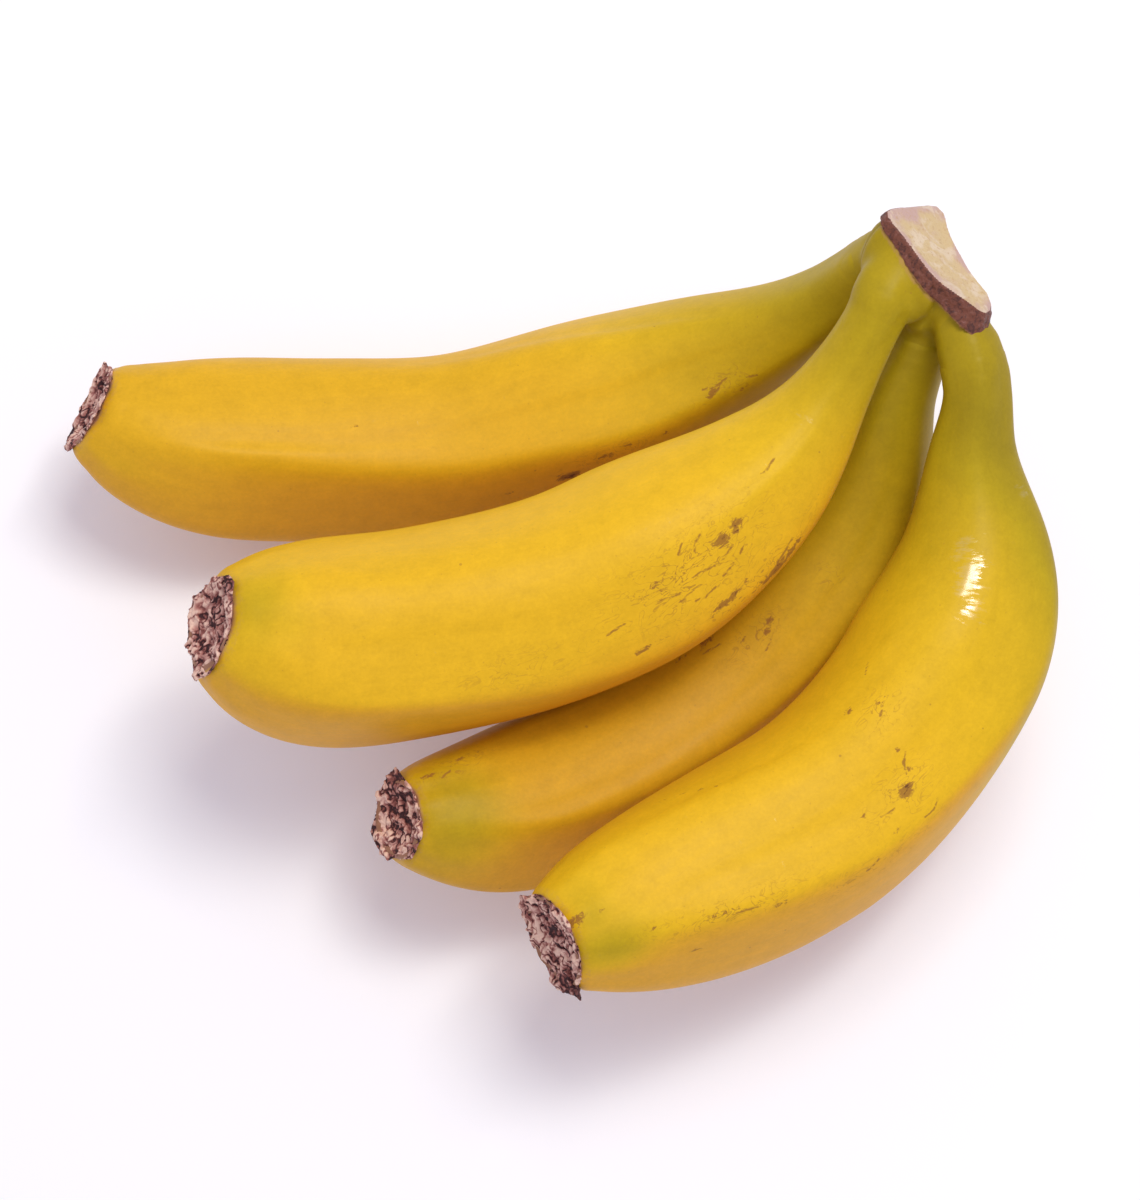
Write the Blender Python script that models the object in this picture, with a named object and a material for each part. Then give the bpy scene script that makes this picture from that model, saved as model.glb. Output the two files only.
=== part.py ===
"""A bunch of four bananas, cut from its stalk and lying on a flat surface.

Metres, +Z up.  The fingers fan out from the crown at +X, in two layers: banana_1 and
banana_3 lie on the surface, banana_2 and banana_4 rest above them.
"""

import math

import bmesh
import bpy
import numpy as np
from mathutils import Matrix, Vector

MM = 0.001

# Driving dimensions, in millimetres
BODY_RADIUS = 19.0          # the peel's half width where a finger is fullest
ROOT_RADIUS = 5.2           # a finger's stem where it grows out of the crown
NECK_RADIUS = 6.2           # the stem of a finger
NECK_START = 8.0            # distance from the root at which the stem is this thick
RIDGES = 5                  # edges that run the length of the peel
RIDGE_SHARPNESS = 12.0
RIDGE_DEPTH = 0.6
GAP = 0.3                   # clearance between neighbouring pieces

RINGS_NECK = 7
RINGS_BODY = 22
RINGS_NOSE = 9
POINTS_PER_FACET = 6

# Each finger's centre line from the crown to the flower end, and how it is shaped.
# girth: its share of the full half width; shoulder: the distances from the root between
# which the stem swells to the full finger; nose: the length that rounds off at its end;
# scar: half width of the blunt end that held the flower; seam: distance from the root at
# which the crown ends and the finger starts; roll: angle of the first ridge from straight
# up towards -Y, at the root and at the end
FINGERS = {
    "banana_1": {
        "route": [(63, 57.5, 71), (55.5, 56.2, 59.2), (48, 54, 48), (38, 51.5, 37.5),
                  (26, 48.5, 29.5), (10, 44, 22.5), (-9.5, 39.5, 18.8), (-24.5, 36.5, 17.4),
                  (-43, 35, 18.5), (-64, 34, 22), (-82.5, 34.5, 28), (-94, 38.2, 33.4)],
        "girth": 0.96, "shoulder": (12.0, 86.0), "nose": 38.0, "scar": 7.8, "seam": 7.0,
        "roll": (70, 14),
    },
    "banana_2": {
        "route": [(61.5, 54, 74), (57.5, 45, 72.5), (52, 36, 65.5), (42, 23, 57),
                  (25, 9.5, 50.5), (4, -2.2, 47.2), (-21.5, -9.7, 47.3), (-48, -13.5, 50.0),
                  (-66.4, -12.6, 59.3)],
        "girth": 1.07, "shoulder": (12.0, 82.0), "nose": 30.0, "scar": 8.1, "seam": 6.0,
        "roll": (90, 45),
    },
    "banana_3": {
        "route": [(69.5, 50.5, 70), (66, 42, 58), (62.5, 35, 49), (60, 27, 39),
                  (53.5, 12.6, 26.0), (41.5, -3, 19), (24.5, -19, 16.4), (5.5, -31.5, 19),
                  (-13.5, -40.4, 25.3), (-32.4, -45, 37.4)],
        "girth": 0.90, "shoulder": (10.0, 76.0), "nose": 41.0, "scar": 6.9, "seam": 9.0,
        "roll": (60, 20),
    },
    "banana_4": {
        "route": [(72.2, 43.5, 70), (76.2, 31.5, 66), (76, 22, 59), (77, 7, 50),
                  (73.5, -11, 44), (62.8, -29.2, 40.5), (46.8, -44.7, 39), (29.5, -54.5, 40),
                  (13, -62, 43.5), (-2.8, -70, 48.8)],
        "girth": 1.03, "shoulder": (12.0, 68.0), "nose": 54.0, "scar": 8.5, "seam": 6.0,
        "roll": (75, 30),
    },
}

# Crown: the centre of its cut face, the face's normal and the way its length runs
CROWN_CENTRE = Vector((68.5, 54.0, 77.0))
CROWN_NORMAL = Vector((0.57, 0.40, 0.72)).normalized()
CROWN_LENGTH_AXIS = Vector((0.72, -0.67, -0.20))
# The cut face's outline, across (length, thickness): a wedge, thick towards banana_1
CROWN_OUTLINE = [(-11.9, 2.9), (-5.6, 5.2), (-1.4, 6.8), (3.0, 7.6), (8.8, 5.8), (13.8, 2.9),
                 (12.9, -1.9), (8.3, -3.4), (2.6, -6.6), (-1.8, -10.2), (-5.0, -14.2),
                 (-9.8, -6.2)]

PEEL = ("peel_yellow", (0.80, 0.52, 0.04), 0.42)
STALK = ("cut_stalk", (0.42, 0.28, 0.14), 0.75)
DRIED = ("dried_flower", (0.16, 0.09, 0.06), 0.85)


def clear_scene():
    for item in list(bpy.data.objects):
        bpy.data.objects.remove(item, do_unlink=True)


def new_collection(name):
    group = bpy.data.collections.new(name)
    bpy.context.scene.collection.children.link(group)
    return group


def material(name, colour, roughness):
    made = bpy.data.materials.get(name)
    if made:
        return made
    made = bpy.data.materials.new(name)
    made.use_nodes = True
    shader = made.node_tree.nodes["Principled BSDF"]
    shader.inputs["Base Color"].default_value = (*colour, 1.0)
    shader.inputs["Roughness"].default_value = roughness
    shader.inputs["Metallic"].default_value = 0.0
    made.diffuse_color = (*colour, 1.0)
    return made


def smooth_step(x):
    x = min(max(x, 0.0), 1.0)
    return x * x * (3.0 - 2.0 * x)


def spline(points, samples):
    """A natural cubic through the points, evenly sampled along its length."""
    pts = np.array(points, dtype=float)
    knots = np.concatenate([[0.0], np.cumsum(np.linalg.norm(np.diff(pts, axis=0), axis=1))])
    step = np.diff(knots)
    count = len(pts)
    system = np.eye(count)
    right = np.zeros((count, 3))
    for i in range(1, count - 1):
        system[i, i - 1] = step[i - 1]
        system[i, i] = 2.0 * (step[i - 1] + step[i])
        system[i, i + 1] = step[i]
        slope_after = (pts[i + 1] - pts[i]) / step[i]
        slope_before = (pts[i] - pts[i - 1]) / step[i - 1]
        right[i] = 6.0 * (slope_after - slope_before)
    bend = np.linalg.solve(system, right)

    def at(u):
        i = min(max(int(np.searchsorted(knots, u)) - 1, 0), count - 2)
        a = (knots[i + 1] - u) / step[i]
        b = 1.0 - a
        curve = (a ** 3 - a) * bend[i] + (b ** 3 - b) * bend[i + 1]
        return a * pts[i] + b * pts[i + 1] + curve * step[i] ** 2 / 6.0

    dense = np.array([at(u) for u in np.linspace(0.0, knots[-1], samples)])
    run = np.concatenate([[0.0], np.cumsum(np.linalg.norm(np.diff(dense, axis=0), axis=1))])
    return dense, run


def point_on(dense, run, distance):
    return Vector([float(np.interp(distance, run, dense[:, k])) for k in range(3)])


def peel_radius(distance, length, spec):
    """Half width at a distance from the root: stem, shoulder, belly and nose."""
    full = BODY_RADIUS * spec["girth"]
    begins, ends = spec["shoulder"]
    stem = ROOT_RADIUS + (NECK_RADIUS - ROOT_RADIUS) * smooth_step(distance / NECK_START)
    radius = stem + (full - stem) * smooth_step((distance - begins) / (ends - begins))
    left = min(max((length - distance) / spec["nose"], 0.0), 1.0)
    nose = (1.0 - (1.0 - left) ** 2.2) ** 0.66
    return spec["scar"] + (radius - spec["scar"]) * nose


def ridge_scale(angle, amount):
    """Radius factor of a rounded five-sided section, with ridges at angle 0, 72, ..."""
    total = 0.0
    for side in range(RIDGES):
        facing = math.cos(angle - (side + 0.5) * 2.0 * math.pi / RIDGES)
        total += max(facing, 0.0) ** RIDGE_SHARPNESS
    five_sided = total ** (-1.0 / RIDGE_SHARPNESS)
    return 1.0 + amount * RIDGE_DEPTH * (five_sided - 1.07)


def ring_stations(length, spec):
    """Distances of the rings, closer together where the outline turns fastest."""
    neck_end = spec["seam"] + 18.0
    nose_start = length - spec["nose"]
    neck = np.linspace(spec["seam"], neck_end, RINGS_NECK, endpoint=False)
    body = np.linspace(neck_end, nose_start, RINGS_BODY, endpoint=False)
    turn = np.linspace(0.0, 0.5 * math.pi, RINGS_NOSE)
    return np.concatenate([neck, body, nose_start + spec["nose"] * np.sin(turn)])


def section_frame(dense, run, distance):
    """Centre, direction and the two axes of the section: upwards and towards -Y."""
    centre = point_on(dense, run, distance)
    ahead = point_on(dense, run, min(distance + 1.5, run[-1]))
    behind = point_on(dense, run, max(distance - 1.5, 0.0))
    along = (ahead - behind).normalized()
    up = Vector((0.0, 0.0, 1.0))
    up = (up - along * along.dot(up)).normalized()
    return centre, along, up, up.cross(along)


def finger_ring(dense, run, distance, spec):
    length = run[-1]
    centre, along, up, side = section_frame(dense, run, distance)
    share = distance / length
    roll = math.radians(spec["roll"][0] + (spec["roll"][1] - spec["roll"][0]) * share)
    radius = peel_radius(distance, length, spec)
    amount = 0.55 + 0.45 * smooth_step((distance - 25.0) / 30.0)
    amount *= smooth_step((length - distance + 2.0) / 22.0)
    count = RIDGES * POINTS_PER_FACET
    ring = []
    for k in range(count):
        angle = 2.0 * math.pi * k / count
        reach = radius * ridge_scale(angle, amount)
        turned = angle + roll
        point = centre + up * (reach * math.cos(turned)) + side * (reach * math.sin(turned))
        point.z = max(point.z, 0.0)
        ring.append(point * MM)
    return ring


def loft(rings, name):
    """Skin a row of equal rings, with both ends closed by a fan."""
    mesh = bmesh.new()
    rows = [[mesh.verts.new(point) for point in ring] for ring in rings]
    count = len(rows[0])
    for row, following in zip(rows, rows[1:]):
        for k in range(count):
            mesh.faces.new((row[k], row[(k + 1) % count],
                            following[(k + 1) % count], following[k]))
    caps = [mesh.faces.new(list(reversed(rows[0]))), mesh.faces.new(rows[-1])]
    bmesh.ops.poke(mesh, faces=caps)
    bmesh.ops.recalc_face_normals(mesh, faces=mesh.faces)
    data = bpy.data.meshes.new(name)
    mesh.to_mesh(data)
    mesh.free()
    return data


def add_part(name, data, look, group):
    part = bpy.data.objects.new(name, data)
    part.data.materials.append(material(*look))
    part.data.shade_smooth()
    part.data.set_sharp_from_angle(angle=math.radians(50.0))
    group.objects.link(part)
    return part


def build_finger(name, spec, group):
    dense, run = spline(spec["route"], 400)
    rings = [finger_ring(dense, run, distance, spec) for distance in ring_stations(run[-1], spec)]
    return add_part(name, loft(rings, name), PEEL, group)


def build_root(name, spec, group):
    """The first stretch of a finger's stem, which grows out of the crown."""
    dense, run = spline(spec["route"], 400)
    stations = np.linspace(0.0, spec["seam"] + 1.0, 4)
    rings = [finger_ring(dense, run, distance, spec) for distance in stations]
    return hide(add_part(name + "_root", loft(rings, name + "_root"), STALK, group))


def build_blossom_end(name, spec, group, seed):
    """The dried rest of the flower: a low, ragged, dished button on the end."""
    dense, run = spline(spec["route"], 400)
    centre, along, up, side = section_frame(dense, run, run[-1])
    profile = [(0.98, 0.30), (1.04, 0.7), (1.0, 1.4), (0.87, 2.0), (0.62, 1.7), (0.36, 1.3),
               (0.14, 1.8)]
    count = 20
    rings = []
    for level, (width, height) in enumerate(profile):
        ring = []
        for k in range(count):
            angle = 2.0 * math.pi * k / count
            ragged = 0.10 * math.sin(3.0 * angle + seed) + 0.07 * math.sin(7.0 * angle + 2.0 * seed)
            lift = 0.45 * math.sin(5.0 * angle + 1.7 * seed + level) if level > 1 else 0.0
            reach = spec["scar"] * width * (1.0 + (ragged if level > 0 else 0.0))
            point = centre + along * (height + lift)
            point += up * (reach * math.cos(angle)) + side * (reach * math.sin(angle))
            ring.append(point * MM)
        rings.append(ring)
    return add_part(name, loft(rings, name), DRIED, group)


def build_crown(group, helpers, roots, fingers):
    """The pad that joins the fingers, with its cut face, and the foot of each stem."""
    thickness_axis = CROWN_LENGTH_AXIS.cross(CROWN_NORMAL).normalized()
    length_axis = CROWN_NORMAL.cross(thickness_axis).normalized()
    first = Vector((*CROWN_OUTLINE[1], 0.0))
    dense, run = spline([(a, b, 0.0) for a, b in CROWN_OUTLINE + CROWN_OUTLINE[:3]], 600)
    reach = [(Vector(point) - first).length for point in dense]
    start = run[int(np.argmin(reach[:300]))]
    whole = run[300 + int(np.argmin(reach[300:]))] - start
    levels = [(0.6, 0.55), (0.1, 0.94), (0.5, 1.0), (3.0, 1.0), (5.0, 1.02), (8.0, 0.98),
              (11.5, 0.86), (14.0, 0.62)]
    rings = []
    for depth, size in levels:
        ring = []
        for k in range(36):
            flat = point_on(dense, run, start + whole * k / 36)
            point = CROWN_CENTRE - CROWN_NORMAL * depth
            point += length_axis * (flat.x * size) + thickness_axis * (flat.y * size)
            ring.append(point * MM)
        rings.append(ring)
    crown = add_part("crown", loft(rings, "crown"), STALK, group)
    for root in roots:
        combine(crown, root, "UNION")
    for finger in fingers:
        combine(crown, swollen_copy(finger, GAP * MM, helpers), "DIFFERENCE")
    return crown


def swollen_copy(part, amount, group):
    """A slightly larger copy of a part, to keep its neighbours clear of it."""
    copy = bpy.data.objects.new(part.name + "_clearance", part.data.copy())
    group.objects.link(copy)
    mesh = bmesh.new()
    mesh.from_mesh(copy.data)
    mesh.normal_update()
    moves = [vert.normal * amount for vert in mesh.verts]
    for vert, move in zip(mesh.verts, moves):
        vert.co += move
    mesh.to_mesh(copy.data)
    mesh.free()
    return hide(copy)


def hide(helper):
    helper.hide_render = True
    helper.display_type = "WIRE"
    return helper


def combine(part, other, operation):
    step = part.modifiers.new(other.name, "BOOLEAN")
    step.operation = operation
    step.object = other
    step.solver = "EXACT"


def centre_on_floor(parts):
    """Move the origin to the middle of the bunch's footprint, on the surface."""
    bpy.context.view_layer.update()
    corners = []
    graph = bpy.context.evaluated_depsgraph_get()
    for part in parts:
        seen = part.evaluated_get(graph)
        corners += [seen.matrix_world @ vert.co for vert in seen.data.vertices]
    low = [min(corner[k] for corner in corners) for k in range(3)]
    high = [max(corner[k] for corner in corners) for k in range(3)]
    shift = Vector((-(low[0] + high[0]) / 2, -(low[1] + high[1]) / 2, -low[2]))
    for item in bpy.data.objects:
        item.data.transform(Matrix.Translation(shift))


def main():
    clear_scene()
    group = new_collection("bunch_of_bananas")
    helpers = new_collection("helpers")
    fingers = [build_finger(name, spec, group) for name, spec in FINGERS.items()]
    roots = [build_root(name, spec, helpers) for name, spec in FINGERS.items()]
    ends = [build_blossom_end(f"blossom_end_{k + 1}", spec, group, 1.3 + 2.1 * k)
            for k, spec in enumerate(FINGERS.values())]
    crown = build_crown(group, helpers, roots, fingers)
    centre_on_floor([*fingers, *ends, crown])


main()
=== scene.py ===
import math

import bmesh
import bpy
import numpy as np
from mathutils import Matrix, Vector, noise
from mathutils.bvhtree import BVHTree


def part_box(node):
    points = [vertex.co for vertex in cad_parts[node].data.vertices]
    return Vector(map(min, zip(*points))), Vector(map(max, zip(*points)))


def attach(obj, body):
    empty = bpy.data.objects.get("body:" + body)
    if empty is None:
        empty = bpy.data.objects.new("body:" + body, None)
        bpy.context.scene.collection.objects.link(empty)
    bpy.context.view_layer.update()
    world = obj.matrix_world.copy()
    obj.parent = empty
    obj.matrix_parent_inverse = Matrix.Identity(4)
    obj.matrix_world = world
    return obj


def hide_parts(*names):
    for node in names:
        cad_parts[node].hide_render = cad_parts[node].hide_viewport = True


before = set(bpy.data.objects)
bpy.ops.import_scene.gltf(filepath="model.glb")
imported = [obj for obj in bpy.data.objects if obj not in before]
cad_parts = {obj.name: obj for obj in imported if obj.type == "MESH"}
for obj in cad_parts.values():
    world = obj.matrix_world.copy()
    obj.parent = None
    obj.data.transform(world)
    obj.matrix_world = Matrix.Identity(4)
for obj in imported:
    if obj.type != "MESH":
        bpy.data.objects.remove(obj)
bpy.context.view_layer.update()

mm = 0.001
crownMiddle = sum(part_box("crown"), Vector()) / 2
fingerNames = sorted(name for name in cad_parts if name.startswith("banana_"))
print("frame loaded:", len(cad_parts), "solids")


studio = {
    "aim": (3.74 * mm, 6.09 * mm, 30 * mm),   # the point the camera looks at
    "distance": 0.65,
    "elevation": 75.0,                        # degrees above the horizon, from -Y
    "lens": 100.0,
    "sensor": 36.0,
    "floorSize": 4.0,
    "floorColour": (0.93, 0.935, 0.92, 1.0),
    "floorGlow": (0.045, 0.040, 0.080, 1.0),   # a faint even light from the lit table
    "skyColour": (0.985, 0.955, 1.11, 1.0),
    "skyStrength": 0.635,
}

# each soft box: where it hangs, what it looks at, its width and height, its power
softBoxes = {
    "keyBox": ((0.20, 0.24, 1.05), (0.0, 0.0, 0.03), 0.48, 0.38, 4.8, (1.0, 0.99, 0.93)),
    "shineBox": ((0.27, 0.19, 0.77), (0.078, 0.003, 0.064), 0.10, 0.22, 0.8, (1.0, 0.99, 0.98)),
}


def aimed(item, place, target):
    item.location = place
    item.rotation_euler = (Vector(target) - Vector(place)).to_track_quat("-Z", "Y").to_euler()


def linked(item):
    bpy.context.scene.collection.objects.link(item)
    return item


def setCamera():
    lens = bpy.data.cameras.new("viewCamera")
    lens.lens = studio["lens"]
    lens.sensor_width = studio["sensor"]
    lens.clip_start = 0.01
    lens.clip_end = 20.0
    camera = linked(bpy.data.objects.new("viewCamera", lens))
    tilt = math.radians(studio["elevation"])
    reach = Vector((0.0, -math.cos(tilt), math.sin(tilt))) * studio["distance"]
    camera.location = Vector(studio["aim"]) + reach
    camera.rotation_euler = (math.pi / 2 - tilt, 0.0, 0.0)
    bpy.context.scene.camera = camera


def setLights():
    for name, (place, target, wide, high, power, colour) in softBoxes.items():
        lamp = bpy.data.lights.new(name, "AREA")
        lamp.shape = "RECTANGLE"
        lamp.size = wide
        lamp.size_y = high
        lamp.energy = power
        lamp.color = colour
        aimed(linked(bpy.data.objects.new(name, lamp)), place, target)
    world = bpy.data.worlds.new("softSky")
    world.use_nodes = True
    sky = world.node_tree.nodes["Background"]
    sky.inputs["Color"].default_value = studio["skyColour"]
    sky.inputs["Strength"].default_value = studio["skyStrength"]
    bpy.context.scene.world = world
    bpy.context.scene.view_settings.view_transform = "Standard"


def setInputs(tree, node, inputs):
    for key, value in inputs.items():
        if isinstance(value, bpy.types.NodeSocket):
            tree.links.new(value, node.inputs[key])
        elif value is not None:
            node.inputs[key].default_value = value


def addNode(tree, kind, inputs=None, **settings):
    made = tree.nodes.new("ShaderNode" + kind)
    for key, value in settings.items():
        setattr(made, key, value)
    setInputs(tree, made, inputs or {})
    return made


def calc(operation, first, second=None, third=None, clamp=False):
    # the value belongs to a node tree, which the new node joins
    made = addNode(first.id_data, "Math", {0: first, 1: second, 2: third},
                   operation=operation, use_clamp=clamp)
    return made.outputs[0]


def times(first, second):
    return calc("MULTIPLY", first, second)


def added(first, second, share=None, clamp=False):
    # the second value is added whole, or by its share
    part = second if share is None else times(second, share)
    return calc("ADD", first, part, clamp=clamp)


def centred(value):
    return calc("SUBTRACT", value, 0.5)


def mixColour(amount, first, second, kind="MIX"):
    # each colour is a socket or (red, green, blue)
    first, second = [(*colour, 1.0) if isinstance(colour, tuple) else colour
                     for colour in (first, second)]
    known = amount if isinstance(amount, bpy.types.NodeSocket) else first
    made = addNode(known.id_data, "Mix", {0: amount, 6: first, 7: second},
                   data_type="RGBA", blend_type=kind)
    return made.outputs[2]


def ramped(value, low, high, outLow=0.0, outHigh=1.0):
    made = addNode(value.id_data, "MapRange", {"Value": value, "From Min": low, "From Max": high,
                    "To Min": outLow, "To Max": outHigh}, interpolation_type="SMOOTHSTEP")
    return made.outputs["Result"]


def shown(value, low, high, tone):
    return times(ramped(value, low, high), tone)


def colourRamp(value, stops):
    made = addNode(value.id_data, "ValToRGB", {"Fac": value})
    band = made.color_ramp
    while len(band.elements) < len(stops):
        band.elements.new(1.0)
    for element, (place, colour) in zip(band.elements, stops):
        element.position = place
        element.color = (*colour, 1.0)
    return made.outputs["Color"]


def cloud(place, scale, detail=2.0, rough=0.5, twist=0.0, kind="Fac"):
    made = addNode(place.id_data, "TexNoise", {"Vector": place, "Scale": scale, "Detail": detail,
                    "Roughness": rough, "Distortion": twist})
    return made.outputs[kind]


def drawnOut(place, stretch, *settings):
    # a noise that is drawn out where the stretch is below 1
    made = addNode(place.id_data, "Mapping", {"Vector": place, "Scale": stretch})
    return cloud(made.outputs["Vector"], *settings)


def attribute(tree, name, kind="Fac"):
    return addNode(tree, "Attribute", attribute_name=name).outputs[kind]


def finish(shader, look, height, inputs):
    tree = height.id_data
    bump = addNode(tree, "Bump", {"Strength": look["bump"],
                                            "Distance": look["bumpDepth"], "Height": height})
    setInputs(tree, shader, {**inputs, "Normal": bump.outputs["Normal"]})


def newGroup(name, inputs, outputs):
    # an input without a value is a place
    tree = bpy.data.node_groups.new(name, "ShaderNodeTree")
    for label, value in inputs.items():
        kind = "NodeSocketVector" if value is None else "NodeSocketFloat"
        socket = tree.interface.new_socket(label, in_out="INPUT", socket_type=kind)
        if value is not None:
            socket.default_value = value
    for label in outputs:
        tree.interface.new_socket(label, in_out="OUTPUT", socket_type="NodeSocketFloat")
    given = tree.nodes.new("NodeGroupInput").outputs
    return tree, given, tree.nodes.new("NodeGroupOutput")


def newMaterial(name):
    made = bpy.data.materials.new(name)
    made.use_nodes = True
    return made, made.node_tree, made.node_tree.nodes["Principled BSDF"]


def makeDots():
    # soft round dots of two sizes or so, in some of the cells of a scattered pattern
    tree, given, out = newGroup(
        "scatteredDots", {"Place": None, "Scale": 250.0, "Radius": 0.08, "Share": 0.2}, ["Mask"])
    cells = addNode(tree, "TexVoronoi",
                    {"Vector": given["Place"], "Scale": given["Scale"], "Randomness": 1.0})
    chance = addNode(tree, "SeparateColor", {"Color": cells.outputs["Color"]})
    kept = calc("LESS_THAN", chance.outputs["Red"], given["Share"])
    size = times(given["Radius"], added(chance.outputs["Green"], 0.35))
    dot = ramped(cells.outputs["Distance"], size, times(size, 0.45))
    setInputs(tree, out, {"Mask": times(dot, kept)})
    return tree


def makeGrain():
    # fine grain on a coarser one, as a shade round 0 and as a height
    tree, given, out = newGroup(
        "skinGrain", {"Place": None, "Scale": 1600.0, "Strength": 1.0}, ["Shade", "Height"])
    fine = cloud(given["Place"], given["Scale"], 3.0, 0.65)
    coarse = cloud(given["Place"], times(given["Scale"], 0.22), 2.0, 0.5)
    both = added(times(fine, 0.6), coarse, 0.4)
    setInputs(tree, out, {"Shade": times(centred(both), given["Strength"]), "Height": both})
    return tree


dots = makeDots()
grain = makeGrain()


def dotMask(place, scale, radius, share):
    made = addNode(place.id_data, "Group", {"Place": place, "Scale": scale, "Radius": radius,
                                            "Share": share}, node_tree=dots)
    return made.outputs["Mask"]


# a noise has its stretch, if any, scale per metre, detail, roughness and twist; dots have
# their scale, radius and share; steps are where something starts to show and where it shows
# fully, and how strongly; a tone or a height says how much something counts
peel = {
    "ripening": [(0.0, (0.330, 0.238, 0.007)), (0.22, (0.450, 0.318, 0.007)),
                 (0.50, (0.590, 0.380, 0.009)), (0.80, (0.735, 0.450, 0.011)),
                 (1.0, (0.760, 0.448, 0.012))],   # from olive green to golden yellow
    "shadeOchre": (0.725, 0.362, 0.014),       # painted shade: where the peel turns away from the light
    "shadeOchreSteps": (0.35, 0.95),
    "brown": (0.300, 0.125, 0.022),
    "darkBrown": (0.105, 0.036, 0.012),
    "dryEdge": (0.46, 0.24, 0.10),
    "rim": (0.32, 0.150, 0.100),          # the torn edge round the flower end
    "patches": (45.0, 3.0, 0.55),         # greener and yellower
    "patchTone": 0.24,
    "mottle": (150.0, 4.0, 0.6),
    "mottleTone": 0.14,
    "fibres": ((0.12, 1.0, 1.0), 620.0, 3.0, 0.6),
    "fibreTone": 0.12,
    "grainScale": 1500.0,
    "grainTone": 0.40,
    "specks": (300.0, 0.10, 0.12),
    "speckTone": 0.45,
    "pinholes": (900.0, 0.17, 0.14),
    "pinholeTone": 0.22,
    "breaks": ((0.55, 1.0, 1.0), 900.0, 4.0, 0.72, 0.8),   # in the edges of the marks
    "rubBreak": 2.2,
    "rubSteps": (0.46, 0.72, 0.85),
    "coreSteps": (0.88, 1.15, 0.85),      # the dark middles of the rubs
    "scratchBreak": 0.55,
    "scratchSteps": (0.80, 0.95, 0.8),
    "curls": ((0.45, 1.0, 1.0), 430.0, 2.0, 0.5, 1.6),     # faint, in the scuffed areas
    "curlSteps": (0.026, 0.006),
    "curlTone": 0.75,
    "dryBreak": 0.9,
    "drySteps": (0.15, 0.60, 0.65),
    "rimSteps": (0.60, 0.95, 0.9),
    "roughness": 0.40,
    "fibreRough": 0.12,
    "wornRough": 0.2,
    "specular": 0.16,
    "streaks": ((1.0, 0.30, 0.30), 900.0, 4.0, 0.75),      # across the waxy places
    "streakTone": 1.9,
    "waxSteps": (0.32, 0.72),
    "coatRoughness": 0.17,
    "coatIor": 1.9,
    "grainHeight": 0.6,
    "fibreHeight": 0.8,
    "wornHeight": 0.5,
    "bump": 0.20,
    "bumpDepth": 0.25 * mm,
}


def peelMarks(tree, flow, broken):
    # masks of the rubs, scratches and curls together, and of the rubs' dark middles
    rubbed = added(attribute(tree, "rubbed"), broken, peel["rubBreak"])
    rubMask = shown(rubbed, *peel["rubSteps"])
    rubCore = shown(rubbed, *peel["coreSteps"])
    drawn = added(attribute(tree, "scratched"), broken, peel["scratchBreak"])
    scratch = shown(drawn, *peel["scratchSteps"])
    curls = centred(drawnOut(flow, *peel["curls"]))
    line = ramped(calc("ABSOLUTE", curls), *peel["curlSteps"])
    curl = times(times(line, attribute(tree, "scuffed")), peel["curlTone"])
    return calc("MAXIMUM", rubMask, calc("MAXIMUM", scratch, curl)), rubCore


def makePeel():
    look, tree, shader = newMaterial("bananaPeel")
    place = addNode(tree, "TexCoord").outputs["Object"]
    flow = attribute(tree, "straight", "Vector")
    ripe = attribute(tree, "ripe")
    patches = centred(cloud(place, *peel["patches"]))
    ripe = added(ripe, patches, peel["patchTone"], clamp=True)
    colour = colourRamp(ripe, peel["ripening"])
    # painted shade: ochre on the sides turned from the light, and the partly painted warm share
    turned = times(attribute(tree, "shaded"), ramped(ripe, *peel["shadeOchreSteps"]))
    colour = mixColour(turned, colour, peel["shadeOchre"])
    # lighter and darker by the fibres, the grain and the mottling, and darker by the painted shade
    fibre = drawnOut(flow, *peel["fibres"])
    skin = addNode(tree, "Group", {"Place": place, "Scale": peel["grainScale"]},
                   node_tree=grain).outputs
    mottle = centred(cloud(place, *peel["mottle"]))
    tone = times(centred(fibre), peel["fibreTone"])
    tone = added(tone, skin["Shade"], peel["grainTone"])
    tone = added(tone, mottle, peel["mottleTone"])
    bright = calc("SUBTRACT", added(tone, 1.0), attribute(tree, "shadeDarkening"))
    grey = addNode(tree, "CombineColor",
                   {"Red": bright, "Green": bright, "Blue": bright}).outputs["Color"]
    colour = mixColour(1.0, colour, grey, "MULTIPLY")
    # small brown dots
    specks = dotMask(place, *peel["specks"])
    pinholes = dotMask(place, *peel["pinholes"])
    specked = calc("MAXIMUM", times(specks, peel["speckTone"]),
                   times(pinholes, peel["pinholeTone"]))
    colour = mixColour(specked, colour, peel["brown"])
    broken = centred(drawnOut(flow, *peel["breaks"]))
    worn, rubCore = peelMarks(tree, flow, broken)
    colour = mixColour(worn, colour, peel["brown"])
    colour = mixColour(rubCore, colour, peel["darkBrown"])
    # the peel dries where it meets the flower end
    edge = added(attribute(tree, "dryEdge"), broken, peel["dryBreak"])
    colour = mixColour(shown(edge, *peel["drySteps"]), colour, peel["dryEdge"])
    colour = mixColour(shown(edge, *peel["rimSteps"]), colour, peel["rim"])
    # satin, with a few waxy places that shine
    gloss = added(times(fibre, peel["fibreRough"]), worn, peel["wornRough"])
    gloss = added(gloss, peel["roughness"])
    streaks = centred(drawnOut(flow, *peel["streaks"]))
    waxed = added(attribute(tree, "shine"), streaks, peel["streakTone"])
    waxed = ramped(waxed, *peel["waxSteps"])
    height = added(times(skin["Height"], peel["grainHeight"]),
                   calc("SUBTRACT", times(fibre, peel["fibreHeight"]),
                        times(worn, peel["wornHeight"])))
    finish(shader, peel, height, {"Base Color": colour, "Roughness": gloss, "Coat Weight": waxed,
            "Coat Roughness": peel["coatRoughness"], "Coat IOR": peel["coatIor"],
            "Specular IOR Level": peel["specular"]})
    return look


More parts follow.
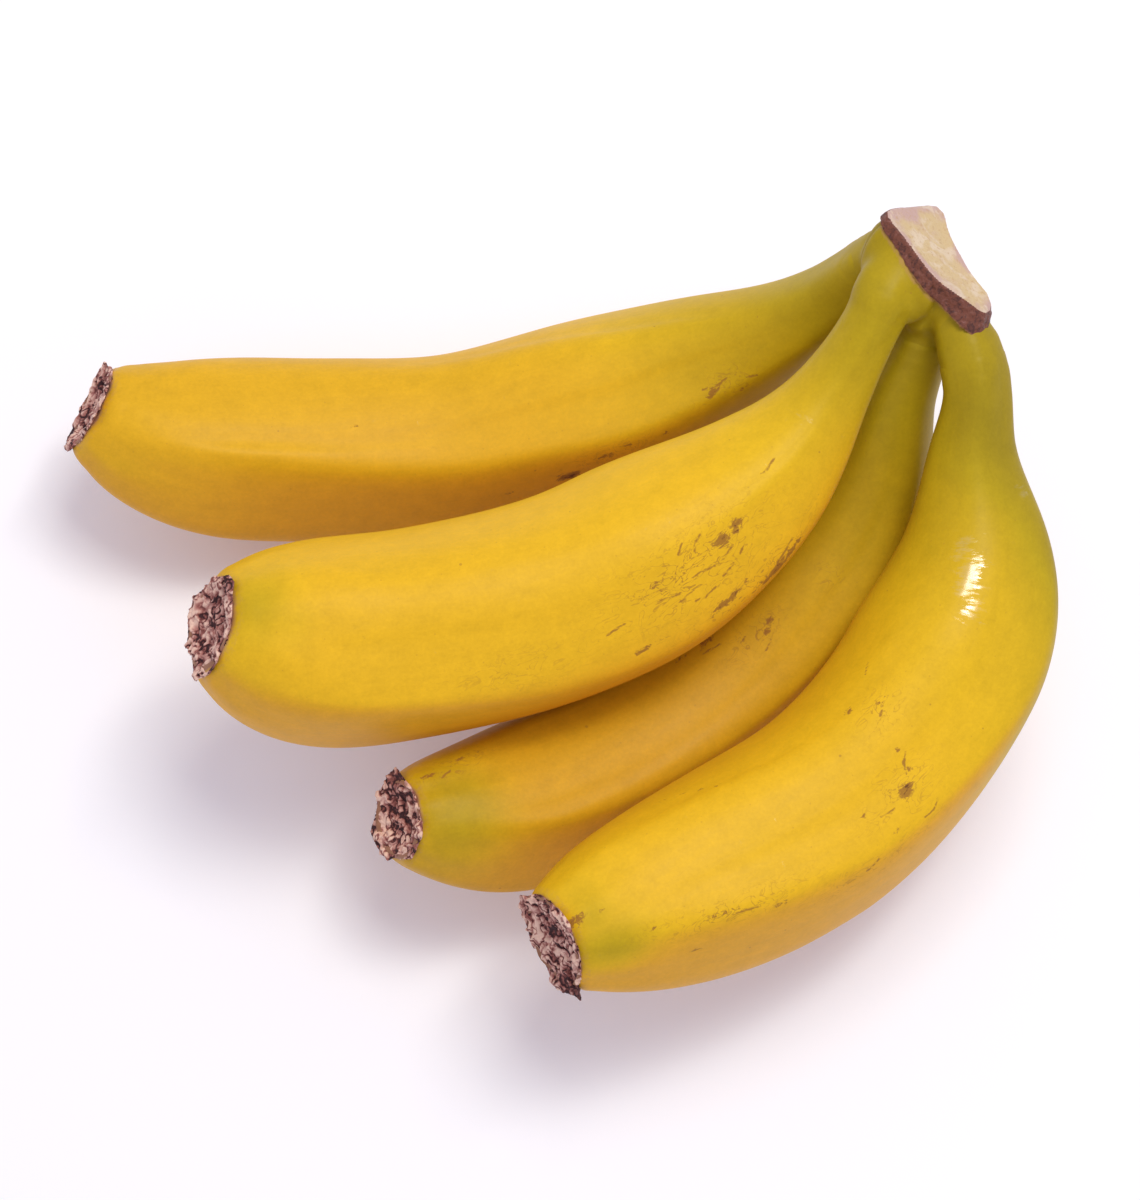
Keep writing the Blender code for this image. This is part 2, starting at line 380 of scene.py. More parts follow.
dried = {
    "tones": [(0.0, (0.045, 0.010, 0.011)), (0.20, (0.165, 0.043, 0.034)),
              (0.44, (0.36, 0.125, 0.098)), (0.68, (0.57, 0.288, 0.230)),
              (1.0, (0.84, 0.560, 0.430))],   # from the pits to the tops of the folds
    "foldTone": 0.55,
    "fine": (1500.0, 4.0, 0.65, 0.8),
    "fineTone": 0.08,
    "swirls": (420.0, 3.0, 0.6),   # bend the cells and the curling lines
    "swirl": 2.0 * mm,
    "cellScale": 600.0,       # the small shrunken cells drawn on the folds
    "cellSteps": (0.02, 0.16),
    "cellTone": 0.14,
    "curls": (330.0, 1.0, 0.5),   # the curling lines between them
    "curlTurns": 12.0,
    "curlSteps": (0.05, 0.75),
    "curlTone": 0.40,
    "contrast": 1.85,
    "brighter": -0.75,
    "roughness": (0.85, 0.60),
    "bump": 0.6,
    "bumpDepth": 0.35 * mm,
}


def makeDried():
    look, tree, shader = newMaterial("driedFlower")
    place = addNode(tree, "TexCoord").outputs["Object"]
    fine = cloud(place, *dried["fine"])
    swirl = addNode(tree, "VectorMath", {0: cloud(place, *dried["swirls"], kind="Color"),
                     "Scale": dried["swirl"]}, operation="SCALE").outputs["Vector"]
    bent = addNode(tree, "VectorMath", {0: place, 1: swirl}).outputs["Vector"]
    cells = addNode(tree, "TexVoronoi", {"Vector": bent, "Scale": dried["cellScale"]},
                    feature="DISTANCE_TO_EDGE").outputs["Distance"]
    cell = ramped(cells, *dried["cellSteps"])
    curls = times(cloud(bent, *dried["curls"]), dried["curlTurns"])
    curl = ramped(calc("ABSOLUTE", calc("SINE", curls)), *dried["curlSteps"])
    lines = added(times(cell, dried["cellTone"]), curl, dried["curlTone"])
    level = added(times(attribute(tree, "fold"), dried["foldTone"]), lines)
    level = added(level, centred(fine), dried["fineTone"])
    level = calc("MULTIPLY_ADD", level, dried["contrast"], dried["brighter"], clamp=True)
    colour = colourRamp(level, dried["tones"])
    rough = ramped(level, 0.0, 1.0, *dried["roughness"])
    finish(shader, dried, added(fine, curl), {"Base Color": colour, "Roughness": rough})
    return look


crownLook = {
    "cream": (0.61, 0.450, 0.225),
    "pale": (0.70, 0.565, 0.400),
    "fibre": (0.52, 0.33, 0.165),
    "pink": (0.54, 0.355, 0.295),
    "pore": (0.38, 0.22, 0.12),
    "band": (0.170, 0.048, 0.024),
    "bandDark": (0.070, 0.018, 0.012),
    "bandPale": (0.27, 0.115, 0.095),
    "lip": (0.36, 0.19, 0.05),
    "patches": (170.0, 3.0, 0.6, 0.3),   # pink, most of them along the cut's outline
    "patchTone": 2.6,
    "pinkSteps": (0.02, 0.95),
    "paler": (260.0, 2.0, 0.55, 0.8),
    "paleSteps": (0.50, 0.66, 0.75),
    "fibres": (1300.0, 3.0, 0.6),
    "fibreSteps": (0.54, 0.72, 0.8),
    "pores": (480.0, 0.13, 0.12),
    "poreTone": 0.55,
    "speckles": (900.0, 4.0, 0.75, 0.4),   # dark and pale ones on the band
    "darkSteps": (0.36, 0.52),
    "speckleSteps": (0.56, 0.70, 0.7),
    "speckleHeight": 0.9,
    "lipWander": 0.22,        # how far the lip and the band's upper edge wander
    "lipSteps": (0.88, 0.97),
    "edgeWander": 0.10,
    "edgeSteps": (0.09, 0.14),
    "roughSteps": (0.3, 0.7, 0.48, 0.70),
    "bump": 0.6,
    "bumpDepth": 0.35 * mm,
}


def makeCutFace():
    look, tree, shader = newMaterial("cutCrown")
    tones = crownLook
    place = addNode(tree, "TexCoord").outputs["Object"]
    depth = attribute(tree, "below")      # 0 on the cut, 1 at the band's lower edge
    edge = attribute(tree, "rim")         # 1 along the cut's outline
    patches = centred(cloud(place, *tones["patches"]))
    fine = cloud(place, *tones["fibres"])
    pinker = added(edge, patches, tones["patchTone"])
    flesh = mixColour(ramped(pinker, *tones["pinkSteps"]), tones["cream"], tones["pink"])
    paler = shown(cloud(place, *tones["paler"]), *tones["paleSteps"])
    flesh = mixColour(paler, flesh, tones["pale"])
    flesh = mixColour(shown(fine, *tones["fibreSteps"]), flesh, tones["fibre"])
    pores = times(dotMask(place, *tones["pores"]), tones["poreTone"])
    flesh = mixColour(pores, flesh, tones["pore"])
    speckle = cloud(place, *tones["speckles"])
    bark = mixColour(ramped(speckle, *tones["darkSteps"]), tones["bandDark"], tones["band"])
    bark = mixColour(shown(speckle, *tones["speckleSteps"]), bark, tones["bandPale"])
    low = added(depth, patches, tones["lipWander"])
    bark = mixColour(ramped(low, *tones["lipSteps"]), bark, tones["lip"])
    ragged = added(depth, centred(fine), tones["edgeWander"])
    colour = mixColour(ramped(ragged, *tones["edgeSteps"]), flesh, bark)
    rough = ramped(fine, *tones["roughSteps"])
    finish(shader, tones, added(fine, speckle, tones["speckleHeight"]),
           {"Base Color": colour, "Roughness": rough})
    return look


def makeFloor():
    look, tree, shader = newMaterial("paleFloor")
    setInputs(tree, shader, {"Base Color": studio["floorColour"], "Roughness": 0.8,
                             "Specular IOR Level": 0.2, "Emission Strength": 1.0,
                             "Emission Color": studio["floorGlow"]})
    return look


def fade(value, low, high):
    share = np.clip((value - low) / (high - low), 0.0, 1.0)
    return share * share * (3.0 - 2.0 * share)


def solidCopy(nodeName):
    shell = bmesh.new()
    shell.from_mesh(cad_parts[nodeName].data)
    bmesh.ops.remove_doubles(shell, verts=shell.verts, dist=0.01 * mm)
    return shell


def meshFrom(shell, name):
    data = bpy.data.meshes.new(name)
    shell.to_mesh(data)
    shell.free()
    return data


def cutOff(shell, place, direction):
    # takes away what lies beyond a plane and closes the cut
    bmesh.ops.bisect_plane(shell, geom=shell.verts[:] + shell.edges[:] + shell.faces[:],
                           plane_co=place, plane_no=direction, clear_outer=True)
    bmesh.ops.holes_fill(shell, edges=[edge for edge in shell.edges if edge.is_boundary])


def withModifier(data, kind, **settings):
    holder = linked(bpy.data.objects.new("holder", data))
    step = holder.modifiers.new(kind.lower(), kind)
    for key, value in settings.items():
        setattr(step, key, value)
    graph = bpy.context.evaluated_depsgraph_get()
    made = bpy.data.meshes.new_from_object(holder.evaluated_get(graph),
                                           preserve_all_data_layers=True, depsgraph=graph)
    bpy.data.objects.remove(holder)
    return made


def remeshed(data, size):
    return withModifier(data, "REMESH", mode="VOXEL", voxel_size=size)


def vectors(items, key):
    found = np.empty(len(items) * 3, np.float32)
    items.foreach_get(key, found)
    return found.reshape(-1, 3).astype(float)


def points(data):
    return vectors(data.vertices, "co")


def normals(data):
    return vectors(data.vertex_normals, "vector")


def straightOf(data):
    return vectors(data.attributes["straight"].data, "vector")


def valuesOf(data, name):
    found = np.empty(len(data.vertices), np.float32)
    data.attributes[name].data.foreach_get("value", found)
    return found


def setPoints(data, places):
    data.vertices.foreach_set("co", places.astype(np.float32).ravel())
    data.update()


def paint(data, name, values):
    # one number for each vertex, or one vector
    kind, key = ("FLOAT", "value") if values.ndim == 1 else ("FLOAT_VECTOR", "vector")
    layer = data.attributes.get(name) or data.attributes.new(name, kind, "POINT")
    layer.data.foreach_set(key, values.astype(np.float32).ravel())


def newPiece(name, data, look, slotName, *nodes):
    for polygon in data.polygons:
        polygon.use_smooth = True
    data.name = name
    data.materials.clear()
    data.materials.append(look)
    made = linked(bpy.data.objects.new(name, data))
    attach(made, "root")
    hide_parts(*nodes)
    return made


def noiseAt(places, scale, offset=Vector()):
    return np.array([noise.noise(Vector(place) * scale + offset) for place in places])


def ringNoise(angle, size, seed):
    # uneven round a ring, without a seam
    return np.array([noise.noise(Vector((size * math.cos(turned), size * math.sin(turned), seed)))
                     for turned in angle])


# reaches are the distances between which something fades in or out, from the crown's end
# or, where the name has End in it, from the flower end
fingerShape = {
    "levels": 3,             # subdivision of the CAD's net of rings
    "ringPoints": 30,        # points in each of its rings
    "bodyReach": (20 * mm, 55 * mm),
    "bodyEndReach": (8 * mm, 30 * mm),
    "crest": 0.85 * mm,      # how much flatter the facets are beside the lower ridges
    "crestRound": 0.045,     # radians over which a ridge is rounded
    "crestSides": ((0.20, 0.42), (1.7, 2.0)),   # radians from the top, each way round
    "worn": 0.75 * mm,       # how much rounder the ridges are on top
    "wornWidth": 1.25,
    "lumps": 0.35 * mm,
    "lumpScale": 38.0,
    "lumpEndReach": (3 * mm, 20 * mm),
    "pucker": 0.14 * mm,     # lengthwise creases by the flower end
    "puckerEndReach": (26 * mm, 5 * mm),
    "stemCreases": 0.22 * mm,
    "creaseReach": (40 * mm, 12 * mm),
    "slimReach": (42 * mm, 20 * mm),
    "tuck": 0.8 * mm,        # the peel's start lies below the crown's skin
    "turnFacing": (-0.3, 0.3),   # the ridges are turned only where the peel faces up
    "flare": 0.45 * mm,      # the peel's edge stands out round the flower end
    "flareEndReach": (4.5 * mm, 0.4 * mm),
    "fringe": 0.3 * mm,      # how ragged that edge is
    "fringeEndReach": (3.0 * mm, 0.1 * mm),
    "recess": 1.5 * mm,      # of the end face, and its shares of the radius
    "recessSteps": (0.98, 0.75),
}

skinTones = {
    "greenest": 0.10,        # at the crown, where 1 is fully ripe
    "light": (-0.10, 0.42, 0.90),       # where the light comes from, for the painted shade of the ochre sides
    "shadeSteps": (-0.68, 0.05),
    # the warm share, partly painted shade, grows over these distances
    "warmAndShadeReach": (35 * mm, 120 * mm),
    "tipTone": 0.2,
    "stainTone": (0.95, 0.5),           # even, and by the lumps
    "scratchWidth": 1.6 * mm,
    "dryTone": 0.26,
}

# distances are in mm from the crown's end, angles in degrees from the top towards -Y
# greenTo is where the green ends, and tipGreen how green the flower end stays; warmAndShade is
# how far the yellow leans to ochre, partly the finger's own tone and partly painted shade where
# other fingers shade it, shadeDarkening how much darker it is painted, as painted shade of the
# fingers over it, and slim how many mm thinner the stem is; turn has the angles by which the
# ridges are turned, and nubs the places and heights of what sticks out round the scar; the
# rubs, scuffs, waxy places and stains have a distance (of stains, from the flower end), angle,
# length, width and strength
fingerLooks = {
    "banana_1": {
        "greenTo": 99, "tipGreen": 0.25, "warmAndShade": 0.42, "shadeDarkening": 0.04, "slim": 0.0,
        "turn": [(20, -4), (45, -9), (85, -8), (125, -1), (160, 0)],
        "stains": [(7, 5, 12, 12, 0.4)],
        "nubs": [(-40, 0.8), (150, 0.9)],
        "rubs": [(81, 60, 6, 3.5, 1.0), (76, 66, 4, 2, 0.8), (72, 51, 4, 2, 0.8),
            (58, 52, 3, 1.6, 0.8), (45, 44, 4, 2.2, 0.9), (39, 57, 3, 1.4, 0.7),
            (93, 64, 7, 1.2, 0.6), (124, 5, 2, 1, 0.6)],
        "scratches": [[(47, 38), (44, 42), (41, 40)], [(70, 46), (66, 48)], [(37, 50), (35, 55)]],
        "scuffs": [(70, 50, 22, 5, 0.6), (42, 45, 14, 6, 0.7)],
        "wax": [],
    },
    "banana_2": {
        "greenTo": 60, "tipGreen": 0.6, "warmAndShade": 0.16, "shadeDarkening": 0.0, "slim": 0.9,
        "turn": [(60, 0), (95, 2), (125, -4), (150, -4)],
        "stains": [(3, -6, 12, 17, 0.6), (8, 4, 12, 9, 0.35)],
        "nubs": [(-70, 0.9), (10, 0.5)],
        "rubs": [(52, 26, 4, 2.6, 0.9), (56, 29, 5, 3.2, 1.0), (53, 30, 2, 1.5, 0.8),
            (71, 28, 9, 1.6, 0.62), (75, 20, 5, 1.2, 0.6), (51, 72, 16, 2.2, 0.9),
            (62, 62, 14, 2.0, 0.85), (78, 58, 10, 1.4, 0.65), (123, 50, 3, 1.2, 0.6),
            (158, 28, 2.5, 1.5, 0.6)],
        "scratches": [[(59, 17), (61, 20), (62, 24)], [(63, 15), (65, 20)],
            [(55, 36), (59, 40), (64, 36), (69, 40), (73, 37)], [(62, 50), (65, 51), (67, 49)],
            [(38, 6), (41, 10), (42, 9)], [(53, 41), (55, 44)], [(70, 33), (76, 31)],
            [(66, 43), (71, 45)], [(46, 66), (50, 69)], [(80, 40), (84, 42)],
            [(57, 46), (60, 48)]],
        "scuffs": [(64, 34, 34, 14, 0.9), (56, 66, 30, 5, 0.8), (100, 46, 30, 8, 0.35)],
        "wax": [(28, -9, 9, 6, 0.34)],
    },
    "banana_3": {
        "greenTo": 100, "tipGreen": 0.62, "warmAndShade": 0.55, "shadeDarkening": 0.14, "slim": 0.0,
        "turn": [(60, 0), (120, 6), (150, 6)],
        # first stain: the tip's own olive, and painted shade under banana_2
        "stains": [(6, 4, 24, 34, 0.95), (4, 12, 12, 14, 0.6)],
        "nubs": [(60, 0.4)],
        "rubs": [(73, -2, 3, 1.8, 0.85), (75, 2, 3.5, 1.8, 0.85), (86, -22, 9, 2.2, 0.75),
            (94, -25, 4, 1.6, 0.7), (80, -6, 3, 1.2, 0.6), (161, -38, 3.5, 1.4, 0.75),
            (154, -41, 3, 1.3, 0.7), (150, -40, 2.4, 1.2, 0.7), (37, 43, 2, 1.4, 0.6)],
        "scratches": [[(84, -14), (90, -18)], [(76, 8), (79, 11)], [(157, -34), (159, -30)]],
        "scuffs": [(78, -2, 18, 6, 0.7), (56, 10, 8, 6, 0.6), (155, -36, 16, 5, 0.7)],
        "wax": [],
    },
    "banana_4": {
        "greenTo": 92, "tipGreen": 0.72, "warmAndShade": 0.05, "shadeDarkening": 0.0, "slim": 0.0,
        "turn": [(50, -1), (80, -4), (110, -7), (140, -7)],
        # the long third stain: own green, and painted shade on the outer side
        "stains": [(5, 34, 18, 10, 0.8), (4, 5, 8, 14, 0.5), (112, 82, 90, 24, 0.7)],
        "nubs": [(95, 1.9)],
        "rubs": [(83, -27, 3, 1.8, 0.9), (78, -17, 2, 1.2, 0.6), (87, 27, 4.5, 3, 1.0),
            (84, 20, 2.2, 1.4, 0.8), (83, 8, 2, 1.2, 0.7), (96, 22, 2, 1.3, 0.75),
            (93, 39, 2, 1.3, 0.7), (129, -57, 3, 1, 0.7), (125, -52, 2, 1, 0.7),
            (121, -45, 3, 1, 0.7), (118, -40, 2.4, 1, 0.7), (129, 32, 9, 1.4, 0.72),
            (118, 39, 4, 1.2, 0.7), (144, 29, 5, 1.2, 0.65), (136, 55, 3, 1.2, 0.6),
            (156, -1, 5, 2.6, 0.95), (151, 2, 4, 1.4, 0.65)],
        "scratches": [[(82, 12), (84, 16), (85, 21)], [(84, 42), (86, 45), (88, 44)],
            [(71, -40), (74, -36)], [(76, -16), (80, -11)], [(122, 35), (127, 34)],
            [(98, 44), (101, 47)], [(91, 30), (94, 28)]],
        "scuffs": [(79, -14, 12, 8, 0.6), (88, 26, 16, 10, 0.6), (128, 33, 34, 5, 0.7),
            (100, 48, 30, 5, 0.5)],
        "wax": [(37, -17, 8, 5, 0.6), (43, -7, 12, 6, 0.8), (50, 1, 8, 6, 0.55),
            (27, 50, 5, 4, 0.45)],
    },
}


def turnFrom(angle, degrees):
    # shortest turn, in radians, from an angle in degrees
    return (angle - math.radians(degrees) + math.pi) % (2 * math.pi) - math.pi


def spotField(along, angle, reach, spots):
    field = np.zeros(len(along))
    for distance, degrees, longSize, wideSize, strength in spots:
        ahead = 2 * (along - distance * mm) / (longSize * mm)
        aside = 2 * turnFrom(angle, degrees) * reach / (wideSize * mm)
        field = np.maximum(field, strength * np.exp(-ahead ** 2 - aside ** 2))
    return field


def lineField(along, angle, reach, lines, fade):
    # 1 on a line, falling to 0 at a distance from it
    field = np.zeros(len(along))
    for line in lines:
        for (distance, degrees), (nextDistance, nextDegrees) in zip(line, line[1:]):
            ahead = along - distance * mm
            aside = turnFrom(angle, degrees) * reach
            stepAlong = (nextDistance - distance) * mm
            stepAside = math.radians(nextDegrees - degrees) * reach
            size = stepAlong ** 2 + stepAside ** 2
            share = np.clip((ahead * stepAlong + aside * stepAside) / size, 0.0, 1.0)
            gap = np.hypot(ahead - share * stepAlong, aside - share * stepAside)
            field = np.maximum(field, 1.0 - gap / fade)
    return field


def ringFit(row, towards):
    # centre and direction of a planar ring, from a circle through its points
    spots = np.array([vert.co for vert in row])
    mean = spots.mean(axis=0)
    axes = np.linalg.svd(spots - mean)[2]
    flat = (spots - mean) @ axes[:2].T
    square = (flat ** 2).sum(axis=1)
    fit = np.linalg.lstsq(np.column_stack([2 * flat, np.ones(len(flat))]), square, rcond=None)[0]
    direction = axes[2] if axes[2] @ towards > 0 else -axes[2]
    return mean + fit[:2] @ axes[:2], direction


def ringRows(shell):
    # the rings of a finger from the crown to the flower end, found from the hub of the fan
    # that closes it at the crown
    hubs = sorted(shell.verts, key=lambda vert: len(vert.link_edges))[-2:]
    hub = min(hubs, key=lambda vert: (vert.co - crownMiddle).length)
    fans = [[face for face in hub.link_faces if face.normal.dot(other.normal) > 0.999]
            for other in hub.link_faces]
    row = {vert for face in max(fans, key=len) for vert in face.verts}
    resting = {vert for vert in shell.verts if vert.co.z < 0.02 * mm}
    rows, seen = [], resting | row
    while row:
        rows.append(sorted(row, key=lambda vert: vert.index))
        row = {edge.other_vert(vert) for vert in row for edge in vert.link_edges} - seen
        seen |= row
    before = np.mean([vert.co for vert in rows[-1]], axis=0) - np.array(rows[0][0].co)
    rings = []
    for row in rows:
        rings.append(ringFit(row, before))
        before = rings[-1][1]
    # the points of the flat spot that the finger rests on belong to the nearest rings
    for vert in sorted(resting, key=lambda vert: vert.index):
        gaps = [abs((np.array(vert.co) - centre) @ direction) for centre, direction in rings]
        rows[int(np.argmin(gaps))].append(vert)
    return rows, rings


def keepNet(shell, rowOf, angleOf):
    # only the edges round and along the finger stay, with creases round its two ends
    crease = shell.edges.layers.float.new("crease_edge")
    ends = (0, max(rowOf.values()))
    extra = []
    for edge in shell.edges:
        first, second = edge.verts
        apart = abs(rowOf[first] - rowOf[second])
        turn = abs((angleOf[first] - angleOf[second] + math.pi) % (2 * math.pi) - math.pi)
        if apart > 1 or turn > math.radians((20.0, 6.0)[apart]):
            extra.append(edge)
        elif apart == 0 and rowOf[first] in ends:
            edge[crease] = 1.0
    bmesh.ops.dissolve_edges(shell, edges=extra, use_verts=False)


def straighten(shell):
    # gives each vertex its place on the finger as if that were laid out straight; the rings'
    # distances and centres, and the line that the ridges' turn follows, are returned
    layer = shell.verts.layers.float_vector.new("straight")
    shell.verts.index_update()
    rows, rings = ringRows(shell)
    centres = np.array([centre for centre, direction in rings])
    run = np.concatenate([[0.0], np.cumsum(np.linalg.norm(np.diff(centres, axis=0), axis=1))])
    turns, reach, rowOf, angleOf = [], [], {}, {}
    for k, row in enumerate(rows):
        along = Vector(rings[k][1])
        up = Vector((0.0, 0.0, 1.0))
        up = (up - along * along.dot(up)).normalized()
        side = up.cross(along)
        beat = 0.0
        for vert in row:
            arm = vert.co - Vector(centres[k])
            vert[layer] = (run[k], arm.dot(up), arm.dot(side))
            rowOf[vert], angleOf[vert] = k, math.atan2(arm.dot(side), arm.dot(up))
            beat += arm.length * complex(math.cos(5 * angleOf[vert]), -math.sin(5 * angleOf[vert]))
        whole = len(row) == fingerShape["ringPoints"] and row[-1].co.z > 0.5 * mm
        if whole and 0.2 < run[k] / run[-1] < 0.85:
            turns.append(-math.atan2(beat.imag, beat.real))
            reach.append(run[k])
    keepNet(shell, rowOf, angleOf)
    return run, centres, np.polyfit(reach, np.unwrap(turns), 1)


def shadedSide(facing, along, warmAndShade):
    # painted shade: 0 facing the light, 1 on the undersides, plus the partly painted warm share
    towards = facing @ np.array(skinTones["light"])
    return np.maximum(fade(-towards, *skinTones["shadeSteps"]),
                      warmAndShade * fade(along, *skinTones["warmAndShadeReach"]))


def ridgeRise(wave, angle, body):
    # sharp ridges below, worn round ones on top
    oneSide, otherSide = fingerShape["crestSides"]
    side = np.maximum(fade(angle, *oneSide), fade(-angle, *otherSide))
    fromRidge = np.hypot(wave / 5, fingerShape["crestRound"])
    # 1 on a ridge of a flat-sided shape, 0 in the middle of a side
    facet = (math.cos(math.pi / 5) / np.cos(math.pi / 5 - fromRidge) - 0.809) / 0.191
    rise = fingerShape["crest"] * (facet - 0.35) * body * side
    dome = np.exp(-(wave / fingerShape["wornWidth"]) ** 2)
    return rise - fingerShape["worn"] * dome * body * (1 - side)


def skinRise(along, left, angle, phase, body, lumps, slim):
    # how far the skin stands over the net of rings
    shape = fingerShape
    rise = ridgeRise((phase + math.pi) % (2 * math.pi) - math.pi, angle, body)
    rise += shape["lumps"] * lumps * fade(left, *shape["lumpEndReach"])
    ends = fade(left, *shape["puckerEndReach"]) * fade(left, 0.2 * mm, 2.0 * mm)
    rise += shape["pucker"] * ends * (np.cos(phase) + 0.6 * np.cos(11 * angle + 1.0))
    stem = fade(along, *shape["creaseReach"])
    rise += shape["stemCreases"] * stem * np.cos(4 * angle + 30 * along)
    rise -= slim * mm * fade(along, *shape["slimReach"])
    rise -= shape["tuck"] * fade(along, 2.5 * mm, 0.0)
    return rise


def shapeSkin(places, facing, rise, left, reach, angle, heading, total):
    # the peel stands out round the flower end, and its end face is sunk
    shape = fingerShape
    rim = reach[left < 0.01 * mm].max()
    endFace = (left < 0.01 * mm) & (reach < 0.97 * rim)
    wavy = 1.0 + 0.25 * np.cos(3 * angle + total * 900) + 0.2 * np.cos(8 * angle)
    rise += shape["flare"] * wavy * fade(left, *shape["flareEndReach"]) * ~endFace
    moved = places + facing * rise[:, None]
    ragged = ringNoise(angle, 1.6, total) + 0.4 * np.cos(7 * angle + total * 500)
    moved += heading * (shape["fringe"] * ragged * ~endFace
                        * fade(left, *shape["fringeEndReach"]))[:, None]
    sunk = shape["recess"] * fade(reach / rim, *shape["recessSteps"]) * endFace
    moved -= heading * sunk[:, None]
    moved[:, 2] = np.maximum(moved[:, 2], 0.0)
    return moved


def paintSkin(data, looks, along, left, reach, angle, lumps, total):
    tones = skinTones
    stain = spotField(along, angle, reach, [(total / mm - distance, *rest)
                                            for distance, *rest in looks["stains"]])
    even, lumpy = tones["stainTone"]
    green = tones["tipTone"] * fade(left, 22 * mm, 3 * mm) + stain * (even + lumpy * lumps)
    ripe = tones["greenest"] + 0.90 * fade(along, -8 * mm, looks["greenTo"] * mm)
    paint(data, "ripe", ripe - looks["tipGreen"] * green)
    # painted shade: the ochre undersides, and the partly painted warm share
    paint(data, "shaded", shadedSide(normals(data), along, looks["warmAndShade"]))
    # painted shade: the finger drawn darker where the other fingers shade it
    paint(data, "shadeDarkening", looks["shadeDarkening"] * fade(along, 0.0, 40 * mm))
    for name, spots in (("rubbed", "rubs"), ("scuffed", "scuffs"), ("shine", "wax")):
        paint(data, name, spotField(along, angle, reach, looks[spots]))
    paint(data, "scratched", lineField(along, angle, reach, looks["scratches"],
                                       tones["scratchWidth"]))
    paint(data, "dryEdge", tones["dryTone"] * fade(left, 2.2 * mm, 0.7 * mm)
          + 1.0 * fade(left, 0.55 * mm, 0.0))


def makeFinger(name, look):
    looks = fingerLooks[name]
    shell = solidCopy(name)
    run, centres, roll = straighten(shell)
    data = withModifier(meshFrom(shell, name), "SUBSURF", levels=fingerShape["levels"],
                        render_levels=fingerShape["levels"], uv_smooth="NONE")
    places, facing, flow = points(data), normals(data), straightOf(data)
    total = run[-1]
    along = flow[:, 0]
    left = total - along
    reach = np.hypot(flow[:, 1], flow[:, 2])
    angle = np.arctan2(flow[:, 2], flow[:, 1])
    body = fade(along, *fingerShape["bodyReach"]) * fade(left, *fingerShape["bodyEndReach"])
    lumps = noiseAt(places, fingerShape["lumpScale"])
    phase = 5 * angle - np.polyval(roll, along)
    rise = skinRise(along, left, angle, phase, body, lumps, looks["slim"])
    # a small turn of the peel sets the ridges
    weight = fade(facing[:, 2], *fingerShape["turnFacing"]) * body
    turn = weight * np.radians(np.interp(along / mm, *zip(*looks["turn"])))
    axis = np.column_stack([np.interp(along, run, np.gradient(centres[:, k], run))
                            for k in range(3)])
    angle = angle + turn
    places = places + np.cross(facing, axis) * (turn * reach)[:, None]
    heading = (centres[-1] - centres[-2]) / np.linalg.norm(centres[-1] - centres[-2])
    setPoints(data, shapeSkin(places, facing, rise, left, reach, angle, heading, total))
    paintSkin(data, looks, along, left, reach, angle, lumps, total)
    print(name, "rings", len(run), "vertices", len(data.vertices), "length mm", round(total / mm))
    return newPiece(name + "_skin", data, look, "peel", name), centres[-1], heading


flowerShape = {
    "voxel": 0.24 * mm,
    "squash": 0.45,           # a low dish with a raised rim, instead of the plain button
    "rimHeight": 0.7 * mm,
    "dish": 1.5 * mm,
    "dishSteps": (0.95, 0.35),   # shares of the radius
    "spread": 1.17,
    "uneven": 0.05,
    "nubWidth": 0.13,         # radians
    "nubSteps": (0.75, 1.0),
    "foldScale": 300.0,       # large folds, then the curly wrinkles on them
    "foldHeight": 0.75 * mm,
    "wrinkleScale": 720.0,
    "wrinkleHeight": 0.45 * mm,
    "warpScale": 300.0,
    "warp": 0.9 * mm,
    "frontSteps": (-0.2, 0.3),   # only the front is folded
    "tone": 0.14,
    "foldTone": 0.42,
    "wrinkleTone": 0.48,
    "broadScale": 230.0,      # light and dark parts of each scar
    "broadTone": 0.60,
    "hollowTone": 0.16,       # the middle is darker
    "hollowSteps": (0.8, 0.2),
}


def drift(place):
    # the same wandering direction at each spot in every run
    return Vector([noise.noise(place + Vector((shift, -2.0 * shift, 1.3 * shift)))
                   for shift in (7.3, 19.1, 31.7)])


def foldsAt(places, offset):
    # 1 on the crests of the folds and of the wrinkles, and less between them
    folds, wrinkles = [], []
    for place in places:
        warp = drift(Vector(place) * flowerShape["warpScale"] + offset) * flowerShape["warp"]
        spot = Vector(place) + offset + warp
        folds.append(1.0 - 2.4 * abs(noise.noise(spot * flowerShape["foldScale"])))
        wrinkles.append(1.0 - 2.2 * abs(noise.noise(spot * flowerShape["wrinkleScale"])))
    return np.array(folds), np.array(wrinkles)


